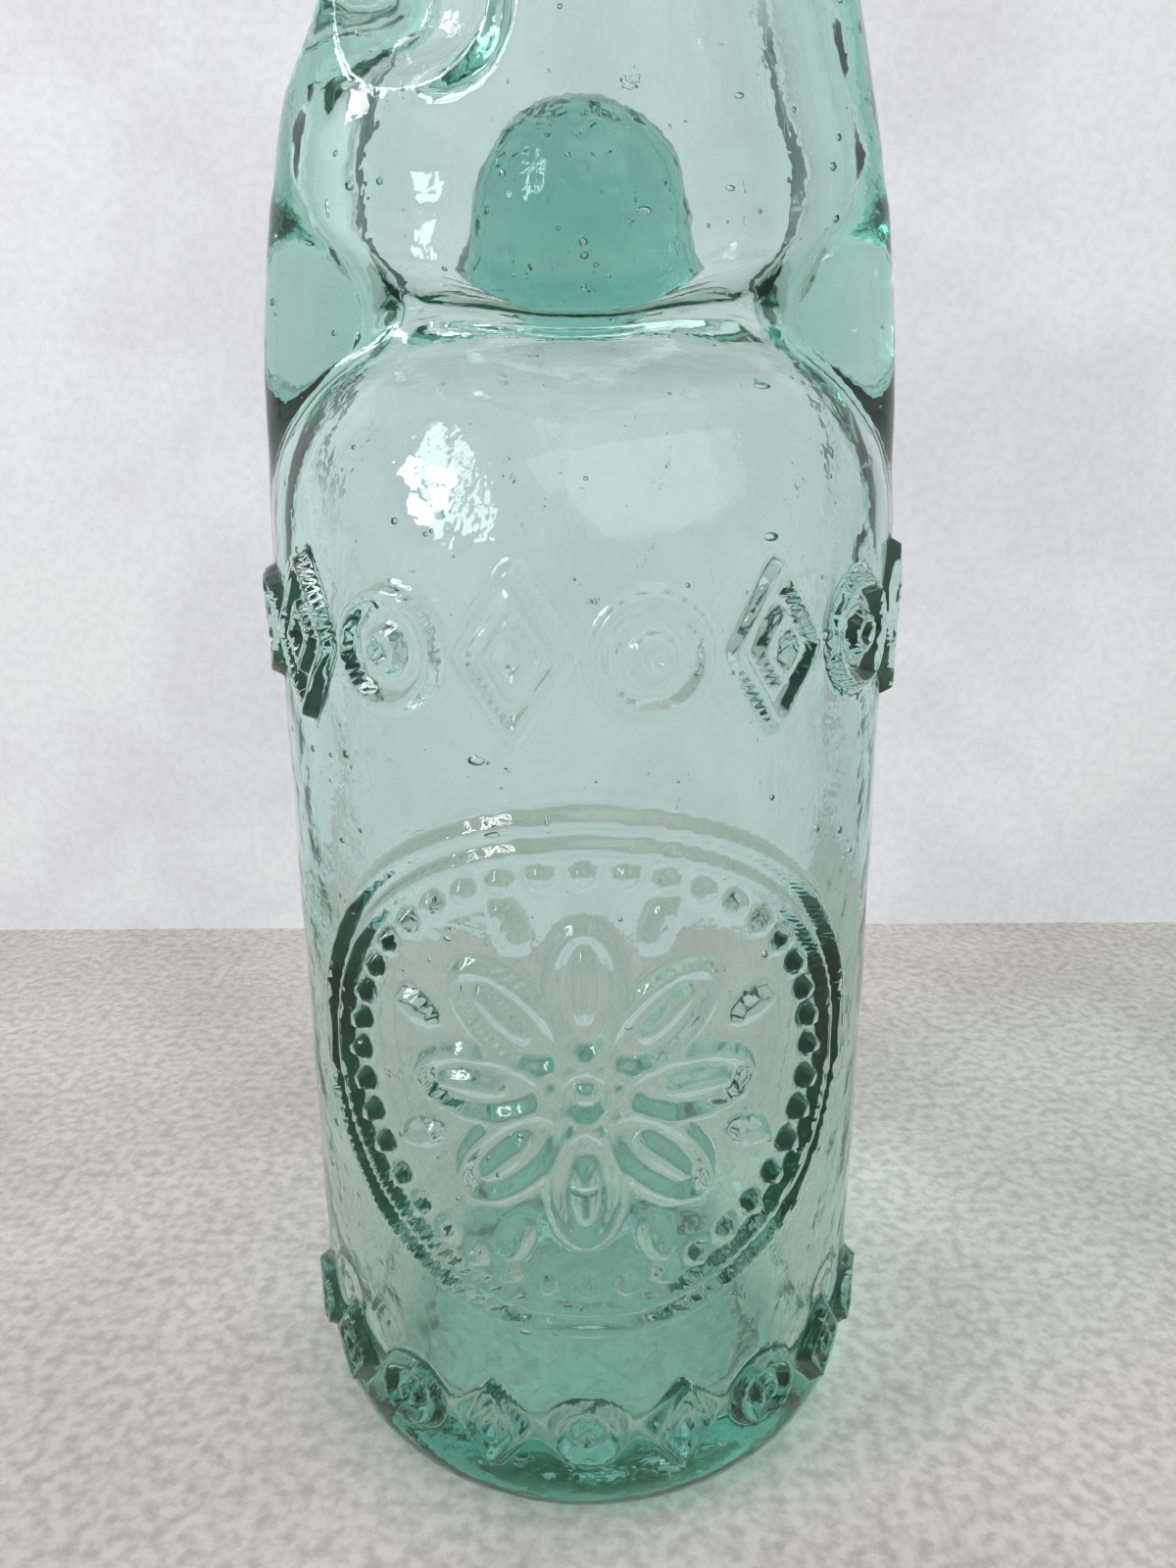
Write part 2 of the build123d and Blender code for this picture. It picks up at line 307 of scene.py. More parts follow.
def bottle_rings():
    """Rings from the middle of the underside, up the outside, over the rim and down inside.
    Each is (height, function of the column angles that gives the radius, fine or not, outside)."""
    def round_ring(radius, height, fine=False, outside=True):
        return (height, lambda angles: np.full(len(angles), radius), fine, outside)

    rings = []
    for radius in (3, 6, 9, 12, 14.5, 16.3):
        rings.append(round_ring(radius, DISH_CENTRE + math.sqrt(DISH_RADIUS ** 2 - radius ** 2)))
    rings += [round_ring(STANDING_RADIUS + 0.1, 0.04), round_ring(18.2, 0.0), round_ring(19.5, 0.0)]
    for radius, height in arc(BODY_RADIUS - HEEL_RADIUS, HEEL_RADIUS, HEEL_RADIUS, -82, -10, 11):
        rings.append(round_ring(radius, height))
    for height in heights((ORNAMENT_FOOT + 0.4, BODY_TOP, ROW_STEP)):
        radius = BODY_RADIUS - (0.02 if height < HEEL_RADIUS else 0)
        rings.append(round_ring(radius, height, fine=True))
    for height in heights((BODY_TOP + ROW_STEP, ORNAMENT_TOP, ROW_STEP)):
        rings.append((height, lambda a, z=height: outer_radius(a, z), True, True))
    for height in heights(*UPPER_RUNS):
        rings.append((height, lambda a, z=height: outer_radius(a, z), False, True))
    for height in heights((NECK_FOOT + 1, LIP_FOOT - 0.6, 2.0)):
        rings.append(round_ring(NECK_RADIUS, height))
    rings += [round_ring(r, z) for r, z in LIP_STEP]
    rings += [round_ring(LIP_RADIUS, z) for z in heights((172, 184, 2.0))]
    rings += [round_ring(r, z)
              for r, z in arc(LIP_RADIUS - LIP_ROUND, RIM - LIP_ROUND, LIP_ROUND, 5, 90, 9)]
    rings += [round_ring(11.5, RIM), round_ring(10.4, RIM)]
    rings += [round_ring(r, z, outside=False)
              for r, z in arc(
                  MOUTH_RADIUS + MOUTH_ROUND, RIM - MOUTH_ROUND, MOUTH_ROUND, 90, 180, 7)]
    rings += [round_ring(MOUTH_RADIUS, z, outside=False) for z in (185.6, 184.4, 183.9)]
    rings += [round_ring(r, z, outside=False)
              for r, z in arc(RING_RADIUS, RING_HEIGHT, GROOVE_RADIUS, 88, -44, 12)]
    rings += [round_ring(BORE_RADIUS, z, outside=False) for z in heights((179.9, NECK_FOOT, 2.2))]
    rings += [(z, lambda a, z=z: inner_radius(a, z), False, False) for z in heights(*HOLLOW_RUNS)]
    hollow = BODY_RADIUS - BODY_WALL
    floor = DISH_RADIUS + FLOOR_THICKNESS
    corner = hollow - FLOOR_CORNER_RADIUS
    edge = DISH_CENTRE + math.sqrt(floor ** 2 - corner ** 2)
    rings += [round_ring(hollow, z, outside=False)
              for z in heights((BODY_TOP - 3, edge + FLOOR_CORNER_RADIUS + 1, 3.0))]
    rings += [round_ring(r, z, outside=False)
              for r, z in arc(corner, edge + FLOOR_CORNER_RADIUS, FLOOR_CORNER_RADIUS, 0, -78, 9)]
    rings += [round_ring(r, DISH_CENTRE + math.sqrt(floor ** 2 - r ** 2) - 0.02, outside=False)
              for r in (16, 14, 11.5, 9, 6, 3)]
    return rings


def bottle_mesh():
    """Points, faces and the point attributes of the bottle's closed skin."""
    fine, kept = column_angles()
    points, unrolled, outside_share, faces, rows = [], [], [], [], []
    start = 0
    for height, radius_of, is_fine, outside in bottle_rings():
        columns = np.arange(len(fine)) if is_fine else kept
        angles = fine[columns]
        radius = radius_of(angles)
        level = np.full(len(angles), height)
        ring = np.stack([radius * np.cos(angles), radius * np.sin(angles), level], 1)
        if outside:
            ring = press_dimples(ring)
        turned = np.degrees(angles) - FRONT
        arc_length = np.radians((turned + 180) % 360 - 180) * BODY_RADIUS
        flat = np.stack([arc_length, level, np.zeros(len(angles))], 1)
        points.append(ring)
        unrolled.append(flat if is_fine else flat + OFF_THE_SHEET)
        outside_share.append(np.full(len(angles), float(outside)))
        rows.append((start, columns))
        start += len(columns)
    for (low_start, low), (high_start, high) in zip(rows[:-1], rows[1:]):
        faces += strip(low_start, low, high_start, high)
    for (row_start, columns), up in ((rows[0], False), (rows[-1], True)):
        height = PUSH_UP if not up else PUSH_UP + FLOOR_THICKNESS - 0.02
        points.append(np.array([[0, 0, height]]))
        unrolled.append(np.full((1, 3), OFF_THE_SHEET))
        outside_share.append(np.array([0.0 if up else 1.0]))
        for i in range(len(columns)):
            j = (i + 1) % len(columns)
            here, after = row_start + i, row_start + j
            faces.append((start, here, after) if up else (start, after, here))
        start += 1
    return np.concatenate(points), faces, np.concatenate(unrolled), np.concatenate(outside_share)


def strip(low_start, low, high_start, high):
    """Faces between two rings; where one has more columns, fans join its extra points."""
    if len(low) == len(high):
        n = len(low)
        return [(low_start + i, low_start + (i + 1) % n, high_start + (i + 1) % n, high_start + i)
                for i in range(n)]
    few_start, few, many_start, many, flip = (
        (low_start, low, high_start, high, False) if len(low) < len(high)
        else (high_start, high, low_start, low, True))
    place = {column: i for i, column in enumerate(many)}
    faces = []
    for i in range(len(few)):
        j = (i + 1) % len(few)
        first, last = place[few[i]], place[few[j]]
        if last <= first:
            last += len(many)
        ends = [many_start + k % len(many) for k in range(first, last + 1)]
        face = [few_start + i, few_start + j] + ends[::-1]
        faces.append(tuple(face[::-1]) if flip else tuple(face))
    return faces


def mesh_object(name, points, faces, **attributes):
    """Mesh in metres with named point attributes, shaded smooth."""
    mesh = bpy.data.meshes.new(name)
    mesh.from_pydata((points * MM).tolist(), [], faces)
    for key, values in attributes.items():
        if values.ndim == 1:
            layer = mesh.attributes.new(key, "FLOAT", "POINT")
            layer.data.foreach_set("value", values.astype(np.float32))
        else:
            layer = mesh.attributes.new(key, "FLOAT_VECTOR", "POINT")
            layer.data.foreach_set("vector", (values * MM).astype(np.float32).ravel())
    mesh.shade_smooth()
    made = bpy.data.objects.new(name, mesh)
    bpy.context.scene.collection.objects.link(made)
    return made


# ---------------------------------------------------------------- helpers for node trees


def put(tree, kind, inputs=None, **settings):
    """New node with its settings made and its inputs given values or links."""
    made = tree.nodes.new(kind)
    for key, value in settings.items():
        setattr(made, key, value)
    for key, value in (inputs or {}).items():
        if isinstance(value, bpy.types.NodeSocket):
            tree.links.new(value, made.inputs[key])
        else:
            made.inputs[key].default_value = value
    return made


def sum_of(tree, a, b, operation="ADD"):
    return put(tree, "ShaderNodeMath", {0: a, 1: b}, operation=operation).outputs[0]


def size_of(tree, value):
    """Value without its sign."""
    return put(tree, "ShaderNodeMath", {0: value}, operation="ABSOLUTE").outputs[0]


def vector_sum(tree, a, b, operation="ADD"):
    return put(tree, "ShaderNodeVectorMath", {0: a, 1: b}, operation=operation).outputs[0]


def scaled(tree, vector, factor):
    return put(tree, "ShaderNodeVectorMath", {0: vector, 3: factor}, operation="SCALE").outputs[0]


def smooth_range(tree, value, low, high, at_low=0.0, at_high=1.0):
    """Smooth change from one value to another as the input goes from low to high."""
    return put(tree, "ShaderNodeMapRange", {0: value, 1: low, 2: high, 3: at_low, 4: at_high},
               interpolation_type="SMOOTHSTEP").outputs[0]


def vector_of(tree, x=0.0, y=0.0, z=0.0):
    return put(tree, "ShaderNodeCombineXYZ", {0: x, 1: y, 2: z}).outputs[0]


def grown_tree(name, sizes, takes_mesh=True):
    """Geometry node tree with a named input for each size, and its input node."""
    tree = bpy.data.node_groups.new(name, "GeometryNodeTree")
    if takes_mesh:
        tree.interface.new_socket("Mesh", in_out="INPUT", socket_type="NodeSocketGeometry")
    kinds = {int: "NodeSocketInt", float: "NodeSocketFloat"}
    for label, value in sizes.items():
        kind = kinds.get(type(value), "NodeSocketMaterial")
        socket = tree.interface.new_socket(label, in_out="INPUT", socket_type=kind)
        if value is not None:
            socket.default_value = value
    tree.interface.new_socket("Mesh", in_out="OUTPUT", socket_type="NodeSocketGeometry")
    return tree, tree.nodes.new("NodeGroupInput").outputs


def finish_tree(tree, mesh, material=None):
    """Ends a tree. Where it makes a piece, its instances become real and get a material."""
    if material is not None:
        mesh = put(tree, "GeometryNodeRealizeInstances", {0: mesh}).outputs[0]
        mesh = put(tree, "GeometryNodeSetMaterial", {0: mesh, 2: material}).outputs[0]
    put(tree, "NodeGroupOutput", {0: mesh})


def joined(tree, *meshes):
    node = tree.nodes.new("GeometryNodeJoinGeometry")
    for mesh in meshes:
        tree.links.new(mesh, node.inputs[0])
    return node.outputs[0]


def pushed(tree, mesh, distance):
    """Moves each point along its normal."""
    move = scaled(tree, tree.nodes.new("GeometryNodeInputNormal").outputs[0], distance)
    return put(tree, "GeometryNodeSetPosition", {0: mesh, 3: move}).outputs[0]


def shaped(tree, mesh, scale=(1, 1, 1), move=(0, 0, 0)):
    return put(tree, "GeometryNodeTransform", {0: mesh, 1: move, 3: scale}).outputs[0]


def ring_line(tree, count, radius=1.0):
    return put(tree, "GeometryNodeMeshCircle", {0: count, 1: radius}).outputs[0]


def grown(piece, tree, **values):
    """Runs a node tree on a piece, with a value for each named input, and keeps the plain mesh."""
    modifier = piece.modifiers.new(tree.name, "NODES")
    modifier.node_group = tree
    for item in tree.interface.items_tree:
        key = item.name.replace(" ", "_").lower()
        if item.in_out == "INPUT" and key in values:
            modifier[item.identifier] = values[key]
    graph = bpy.context.evaluated_depsgraph_get()
    mesh = bpy.data.meshes.new_from_object(piece.evaluated_get(graph))
    piece.modifiers.clear()
    piece.data = mesh
    return piece


# ---------------------------------------------------------------- ornament, as lines on a sheet


def figure_row_tree():
    """Level row of lozenges and rings in turn, as edges on the unrolled side of the bottle."""
    tree, size = grown_tree("figure_row", {
        "Count": 8, "Spacing": 0.0105, "Height": 0.085, "Lozenge Width": 0.008,
        "Lozenge Height": 0.0125, "Ring Radius": 0.0042}, takes_mesh=False)
    start = sum_of(tree, sum_of(tree, size["Count"], 1.0, "SUBTRACT"), size["Spacing"], "MULTIPLY")
    places = put(tree, "GeometryNodeMeshLine", {
        0: size["Count"], 2: vector_of(tree, sum_of(tree, start, -0.5, "MULTIPLY"), size["Height"]),
        3: vector_of(tree, size["Spacing"])}).outputs[0]
    half = vector_of(tree, sum_of(tree, size["Lozenge Width"], 0.5, "MULTIPLY"),
                     sum_of(tree, size["Lozenge Height"], 0.5, "MULTIPLY"), 1.0)
    lozenge = shaped(tree, ring_line(tree, 4), half)
    lozenge = joined(tree, lozenge, shaped(tree, lozenge, (0.42, 0.42, 1)))
    ring = joined(tree, ring_line(tree, 28, size["Ring Radius"]),
                  ring_line(tree, 12, sum_of(tree, size["Ring Radius"], 0.3, "MULTIPLY")))
    kinds = joined(tree, put(tree, "GeometryNodeGeometryToInstance", {0: lozenge}).outputs[0],
                   put(tree, "GeometryNodeGeometryToInstance", {0: ring}).outputs[0])
    number = tree.nodes.new("GeometryNodeInputIndex").outputs[0]
    row = put(tree, "GeometryNodeInstanceOnPoints", {
        0: places, 2: kinds, 3: True, 4: sum_of(tree, number, 2.0, "MODULO")}).outputs[0]
    finish_tree(tree, put(tree, "GeometryNodeRealizeInstances", {0: row}).outputs[0])
    return tree


def around(tree, count, radius, figure, turn=0.0):
    """A figure repeated around a circle, its own +Y pointing outwards."""
    places = ring_line(tree, count, radius)
    where = tree.nodes.new("GeometryNodeInputPosition").outputs[0]
    aim = put(tree, "FunctionNodeAlignRotationToVector", {2: where}, axis="Y", pivot_axis="Z")
    made = put(tree, "GeometryNodeInstanceOnPoints", {0: places, 2: figure, 5: aim.outputs[0]})
    made = put(tree, "GeometryNodeRealizeInstances", {0: made.outputs[0]})
    return put(tree, "GeometryNodeTransform", {0: made.outputs[0], 2: (0, 0, turn)}).outputs[0]


def rosette_panel_tree():
    """Oval frame of two lines and beads around an eight-petalled rosette, as edges."""
    tree, size = grown_tree("rosette_panel", {
        "Middle Height": 0.049, "Half Width": 0.026, "Half Height": 0.0235, "Frame Gap": 0.0022,
        "Petal Length": 0.0112, "Petal Width": 0.0056, "Petal Distance": 0.0088,
        "Sprig Distance": 0.0158}, takes_mesh=False)

    def oval(steps, count):
        inset = sum_of(tree, size["Frame Gap"], float(steps), "MULTIPLY")
        return shaped(tree, ring_line(tree, count), vector_of(
            tree, sum_of(tree, size["Half Width"], inset, "SUBTRACT"),
            sum_of(tree, size["Half Height"], inset, "SUBTRACT"), 1.0))

    beads = put(tree, "GeometryNodeInstanceOnPoints", {
        0: oval(2, 40), 2: ring_line(tree, 6, 0.00035)}).outputs[0]
    petal = shaped(tree, ring_line(tree, 20), vector_of(
        tree, sum_of(tree, size["Petal Width"], 0.5, "MULTIPLY"),
        sum_of(tree, size["Petal Length"], 0.5, "MULTIPLY"), 1.0))
    vein = shaped(tree, ring_line(tree, 12), (0.0003, 0.0024, 1), (0, 0.0008, 0))
    sprig = shaped(tree, ring_line(tree, 12), (0.0005, 0.0016, 1))
    rosette = joined(
        tree, around(tree, 8, size["Petal Distance"], petal),
        around(tree, 8, size["Petal Distance"], vein),
        around(tree, 8, size["Sprig Distance"], sprig, math.pi / 8),
        ring_line(tree, 20, 0.0023), ring_line(tree, 6, 0.0004))
    lines = joined(tree, oval(0, 96), oval(1, 88),
                   put(tree, "GeometryNodeRealizeInstances", {0: beads}).outputs[0], rosette)
    finish_tree(tree, shaped(tree, lines, move=vector_of(tree, 0.0, size["Middle Height"])))
    return tree


# Power that makes most bubbles small and few of them large
MOSTLY_SMALL = 2.6


def bubbles(tree, mesh, chosen, density, seed, smallest, largest, deepest, squash, subdivisions):
    """Air bubbles under a skin, as closed hollows whose faces point into the air."""
    spread = put(tree, "GeometryNodeDistributePointsOnFaces", {
        0: mesh, 1: chosen, 4: density, 6: seed})
    depth = put(tree, "FunctionNodeRandomValue", {2: 0.0007, 3: deepest, 8: seed}).outputs[1]
    down = scaled(tree, spread.outputs[1], sum_of(tree, depth, -1.0, "MULTIPLY"))
    sunk = put(tree, "GeometryNodeSetPosition", {0: spread.outputs[0], 3: down}).outputs[0]
    share = put(tree, "FunctionNodeRandomValue", {
        2: 0.0, 3: 1.0, 8: sum_of(tree, seed, 1.0)}).outputs[1]
    size = put(tree, "ShaderNodeMapRange", {
        0: sum_of(tree, share, MOSTLY_SMALL, "POWER"), 3: smallest, 4: largest})
    stretch = scaled(tree, squash, size.outputs[0])
    ball = put(tree, "GeometryNodeMeshIcoSphere", {0: 1.0, 1: subdivisions}).outputs[0]
    made = put(tree, "GeometryNodeInstanceOnPoints", {
        0: sunk, 2: ball, 5: spread.outputs[2], 6: stretch}).outputs[0]
    made = put(tree, "GeometryNodeRealizeInstances", {0: made}).outputs[0]
    made = put(tree, "GeometryNodeFlipFaces", {0: made}).outputs[0]
    return put(tree, "GeometryNodeSetShadeSmooth", {0: made}).outputs[0]


def ripple(tree, mesh, height, grain, shift, mask=None):
    """Uneven skin of hand-worked glass: noise along the normal."""
    place = tree.nodes.new("GeometryNodeInputPosition").outputs[0]
    noise = put(tree, "ShaderNodeTexNoise", {
        0: vector_sum(tree, place, shift), 2: sum_of(tree, 1.0, grain, "DIVIDE"), 3: 2.0})
    lift = sum_of(tree, sum_of(tree, noise.outputs[0], -0.5), height, "MULTIPLY")
    if mask is not None:
        lift = sum_of(tree, lift, mask, "MULTIPLY")
    return pushed(tree, mesh, lift)


def ornamented_glass_tree(figure_row, rosette_panel):
    """Raises the ornament on the front, ripples both skins and puts bubbles in the wall."""
    tree, named = grown_tree("ornamented_glass", {
        "Line Half Width": 0.00055, "Line Softness": 0.00024, "Line Height": 0.0011,
        "Ripple Height": 0.00045, "Ripple Grain": 0.009, "Inner Ripple Height": 0.00075,
        "Inner Ripple Grain": 0.014, "Seed Density": 24000.0, "Blister Density": 2200.0,
        "Seed Choice": 11, "Blister Choice": 23, "Glass": None})
    frieze = put(tree, "GeometryNodeGroup", node_tree=figure_row).outputs[0]
    foot = put(tree, "GeometryNodeGroup", {
        "Count": 9, "Spacing": 0.0088, "Height": 0.0142, "Lozenge Width": 0.0056,
        "Lozenge Height": 0.0078, "Ring Radius": 0.0030}, node_tree=figure_row).outputs[0]
    panel = put(tree, "GeometryNodeGroup", node_tree=rosette_panel).outputs[0]
    lines = joined(tree, frieze, foot, panel)
    sheet = put(tree, "GeometryNodeInputNamedAttribute", {0: "unrolled"}, data_type="FLOAT_VECTOR")
    near = put(tree, "GeometryNodeProximity", {0: lines, 2: sheet.outputs[0]},
               target_element="EDGES")
    crest = sum_of(tree, named["Line Half Width"], named["Line Softness"], "SUBTRACT")
    edge = sum_of(tree, named["Line Half Width"], named["Line Softness"])
    raised = pushed(tree, named["Mesh"], smooth_range(
        tree, near.outputs[1], crest, edge, named["Line Height"], 0.0))
    outside = put(tree, "GeometryNodeInputNamedAttribute", {0: "outside"},
                  data_type="FLOAT").outputs[0]
    place = tree.nodes.new("GeometryNodeInputPosition").outputs[0]
    height = put(tree, "ShaderNodeSeparateXYZ", {0: place}).outputs[2]
    # The skins are smooth where the bottle stands, nearly so in the bore, and calmer at the throat.
    above_foot = smooth_range(tree, height, 0.002, 0.012)
    below_bore = smooth_range(tree, height, 0.150, 0.160, 1.0, 0.25)
    below_throat = smooth_range(tree, height, 0.098, 0.108, 1.0, 0.22)
    room = sum_of(tree, above_foot, below_bore, "MULTIPLY")
    skin = ripple(tree, raised, named["Ripple Height"], named["Ripple Grain"], (0.0, 0.0, 0.0),
                  sum_of(tree, room, outside, "MULTIPLY"))
    inner = sum_of(tree, sum_of(tree, 1.0, outside, "SUBTRACT"), room, "MULTIPLY")
    skin = ripple(tree, skin, named["Inner Ripple Height"], named["Inner Ripple Grain"],
                  (0.3, 0.1, 0.2), sum_of(tree, inner, below_throat, "MULTIPLY"))
    wall = put(tree, "FunctionNodeCompare", {0: outside, 1: 0.5},
               operation="GREATER_THAN").outputs[0]
    seeds = bubbles(
        tree, named["Mesh"], wall, named["Seed Density"], named["Seed Choice"], smallest=0.00008,
        largest=0.00042, deepest=0.0026, squash=(1.0, 1.0, 0.8), subdivisions=1)
    blisters = bubbles(
        tree, named["Mesh"], wall, named["Blister Density"], named["Blister Choice"],
        smallest=0.0004, largest=0.0010, deepest=0.0016, squash=(1.0, 0.55, 0.30), subdivisions=2)
    finish_tree(tree, joined(tree, skin, seeds, blisters), named["Glass"])
    return tree


def seedy_marble_tree():
    """Marble: a slightly uneven ball with nicks in its skin and bubbles inside."""
    tree, named = grown_tree("seedy_marble", {
        "Radius": MARBLE_RADIUS * MM, "Height": MARBLE_HEIGHT * MM, "Nick Depth": 0.00028,
        "Swell": 0.00010, "Seed Density": 90000.0, "Seed Choice": 5, "Glass": None})
    ball = put(tree, "GeometryNodeMeshIcoSphere", {0: 1.0, 1: 6}).outputs[0]
    ball = shaped(tree, ball, vector_of(tree, named["Radius"], named["Radius"], named["Radius"]))
    place = tree.nodes.new("GeometryNodeInputPosition").outputs[0]
    swell = put(tree, "ShaderNodeTexNoise", {0: place, 2: 190.0, 3: 1.0}).outputs[0]
    nick = put(tree, "ShaderNodeTexNoise", {0: place, 2: 620.0, 3: 2.0}).outputs[0]
    nick = smooth_range(tree, nick, 0.60, 0.70, 0.0, named["Nick Depth"])
    swell = sum_of(tree, sum_of(tree, swell, named["Swell"], "MULTIPLY"), -1.0, "MULTIPLY")
    skin = pushed(tree, ball, sum_of(tree, swell, nick, "SUBTRACT"))
    skin = put(tree, "GeometryNodeSetShadeSmooth", {0: skin}).outputs[0]
    seeds = bubbles(
        tree, ball, True, named["Seed Density"], named["Seed Choice"], smallest=0.00008,
        largest=0.00045, deepest=0.0030, squash=(1.0, 0.8, 0.7), subdivisions=1)
    lift = vector_of(tree, 0.0, 0.0, named["Height"])
    finish_tree(tree, shaped(tree, joined(tree, skin, seeds), move=lift), named["Glass"])
    return tree


# ---------------------------------------------------------------- materials


def effect_group(name, inputs, outputs):
    """Shader node group with named inputs and outputs, for an effect that materials share."""
    tree = bpy.data.node_groups.new(name, "ShaderNodeTree")
    for label, value in inputs.items():
        socket = tree.interface.new_socket(label, in_out="INPUT", socket_type="NodeSocketFloat")
        socket.default_value = value
    for label in outputs:
        tree.interface.new_socket(label, in_out="OUTPUT", socket_type="NodeSocketFloat")
    return tree, tree.nodes.new("NodeGroupInput").outputs


def handling_wear_group():
    """Fine scratches and dull patches from years of handling, and a speckle of small pits."""
    tree, given = effect_group(
        "handling_wear", {"Scratch Scale": 900.0, "Patch Scale": 90.0, "Amount": 0.5},
        ("Dullness", "Height"))
    where = put(tree, "ShaderNodeTexCoord").outputs["Object"]
    total = None
    scratches = sum_of(tree, given["Scratch Scale"], 0.12, "MULTIPLY")
    for turn, stretch in ((0.5, 14.0), (2.1, 18.0), (1.2, 11.0)):
        laid = put(tree, "ShaderNodeMapping", {
            0: where, 2: (turn, 0.3 * turn, turn), 3: (1.0, stretch, 1.0)})
        lines = put(tree, "ShaderNodeTexNoise", {0: laid.outputs[0], 2: scratches, 3: 1.0})
        thin = put(tree, "ShaderNodeMapRange", {
            0: size_of(tree, sum_of(tree, lines.outputs[0], -0.5)), 1: 0.0, 2: 0.004, 3: 1.0,
            4: 0.0}).outputs[0]
        total = thin if total is None else sum_of(tree, total, thin, "MAXIMUM")
    patch = put(tree, "ShaderNodeTexNoise", {0: where, 2: given["Patch Scale"], 3: 3.0}).outputs[0]
    patch = smooth_range(tree, patch, 0.52, 0.68)
    marks = sum_of(tree, total, patch, "MULTIPLY")
    pits = put(tree, "ShaderNodeTexVoronoi", {0: where, 2: given["Scratch Scale"]}, feature="F1")
    pits = smooth_range(tree, pits.outputs[0], 0.0, 0.16, 1.0, 0.0)
    pitted = sum_of(tree, pits, patch, "MULTIPLY")
    dull = sum_of(tree, marks, sum_of(tree, patch, 0.12, "MULTIPLY"), "MAXIMUM")
    height = sum_of(tree, sum_of(tree, marks, -0.4, "MULTIPLY"), pitted, "SUBTRACT")
    put(tree, "NodeGroupOutput", {
        0: sum_of(tree, dull, given["Amount"], "MULTIPLY"),
        1: sum_of(tree, height, given["Amount"], "MULTIPLY")})
    return tree


def painted_fold_shade_group():
    """Painted shade in the folds at both sides of the hollow: a ragged dark line on the inner skin.
    """
    tree, given = effect_group("fold_soil", {
        "Half Width": 0.0012, "Foot": 0.092, "Top": 0.139, "Fading": 0.006,
        "From Axis": 0.0125}, ("Soil",))
    where = put(tree, "ShaderNodeTexCoord").outputs["Object"]
    place = put(tree, "ShaderNodeSeparateXYZ", {0: where})
    ragged = put(tree, "ShaderNodeTexNoise", {0: where, 2: 420.0, 3: 3.0}).outputs[0]
    width = sum_of(tree, given["Half Width"], sum_of(tree, ragged, 2.0, "MULTIPLY"), "MULTIPLY")
    in_fold = sum_of(tree, size_of(tree, place.outputs[1]), width, "LESS_THAN")
    rises = put(tree, "ShaderNodeMapRange", {
        0: place.outputs[2], 1: given["Foot"], 2: sum_of(tree, given["Foot"], given["Fading"])})
    falls = put(tree, "ShaderNodeMapRange", {
        0: place.outputs[2], 1: sum_of(tree, given["Top"], given["Fading"], "SUBTRACT"),
        2: given["Top"], 3: 1.0, 4: 0.0})
    outside = put(tree, "ShaderNodeAttribute", attribute_name="outside").outputs["Fac"]
    inner = sum_of(tree, 1.0, outside, "SUBTRACT")
    # Painted shade: mask of the dark line in the folds, on the inner skin between its foot and top
    soil = sum_of(tree, sum_of(tree, in_fold, rises.outputs[0], "MULTIPLY"),
                  sum_of(tree, falls.outputs[0], inner, "MULTIPLY"), "MULTIPLY")
    side = sum_of(tree, size_of(tree, place.outputs[0]), given["From Axis"], "GREATER_THAN")
    put(tree, "NodeGroupOutput", {0: sum_of(tree, soil, side, "MULTIPLY")})
    return tree


def new_material(name):
    material = bpy.data.materials.new(name)
    material.use_nodes = True
    material.node_tree.nodes.clear()
    return material, material.node_tree


GLASS_BEND = 1.52
CLEAR_ROUGHNESS = 0.012
WORN_ROUGHNESS = 0.35
SKIN_WAVE = 0.00009
SCRATCH_DEPTH = 0.000012
# Dark colour of the painted shade along the folds of the hollow
FOLD_SHADE_COLOUR = (0.02, 0.035, 0.03, 1)
LAMP_LIGHT_THROUGH = (0.86, 0.94, 0.92, 1)
RUBBER_COLOUR = (0.026, 0.021, 0.018, 1)
BLOOM_COLOUR = (0.075, 0.066, 0.060, 1)


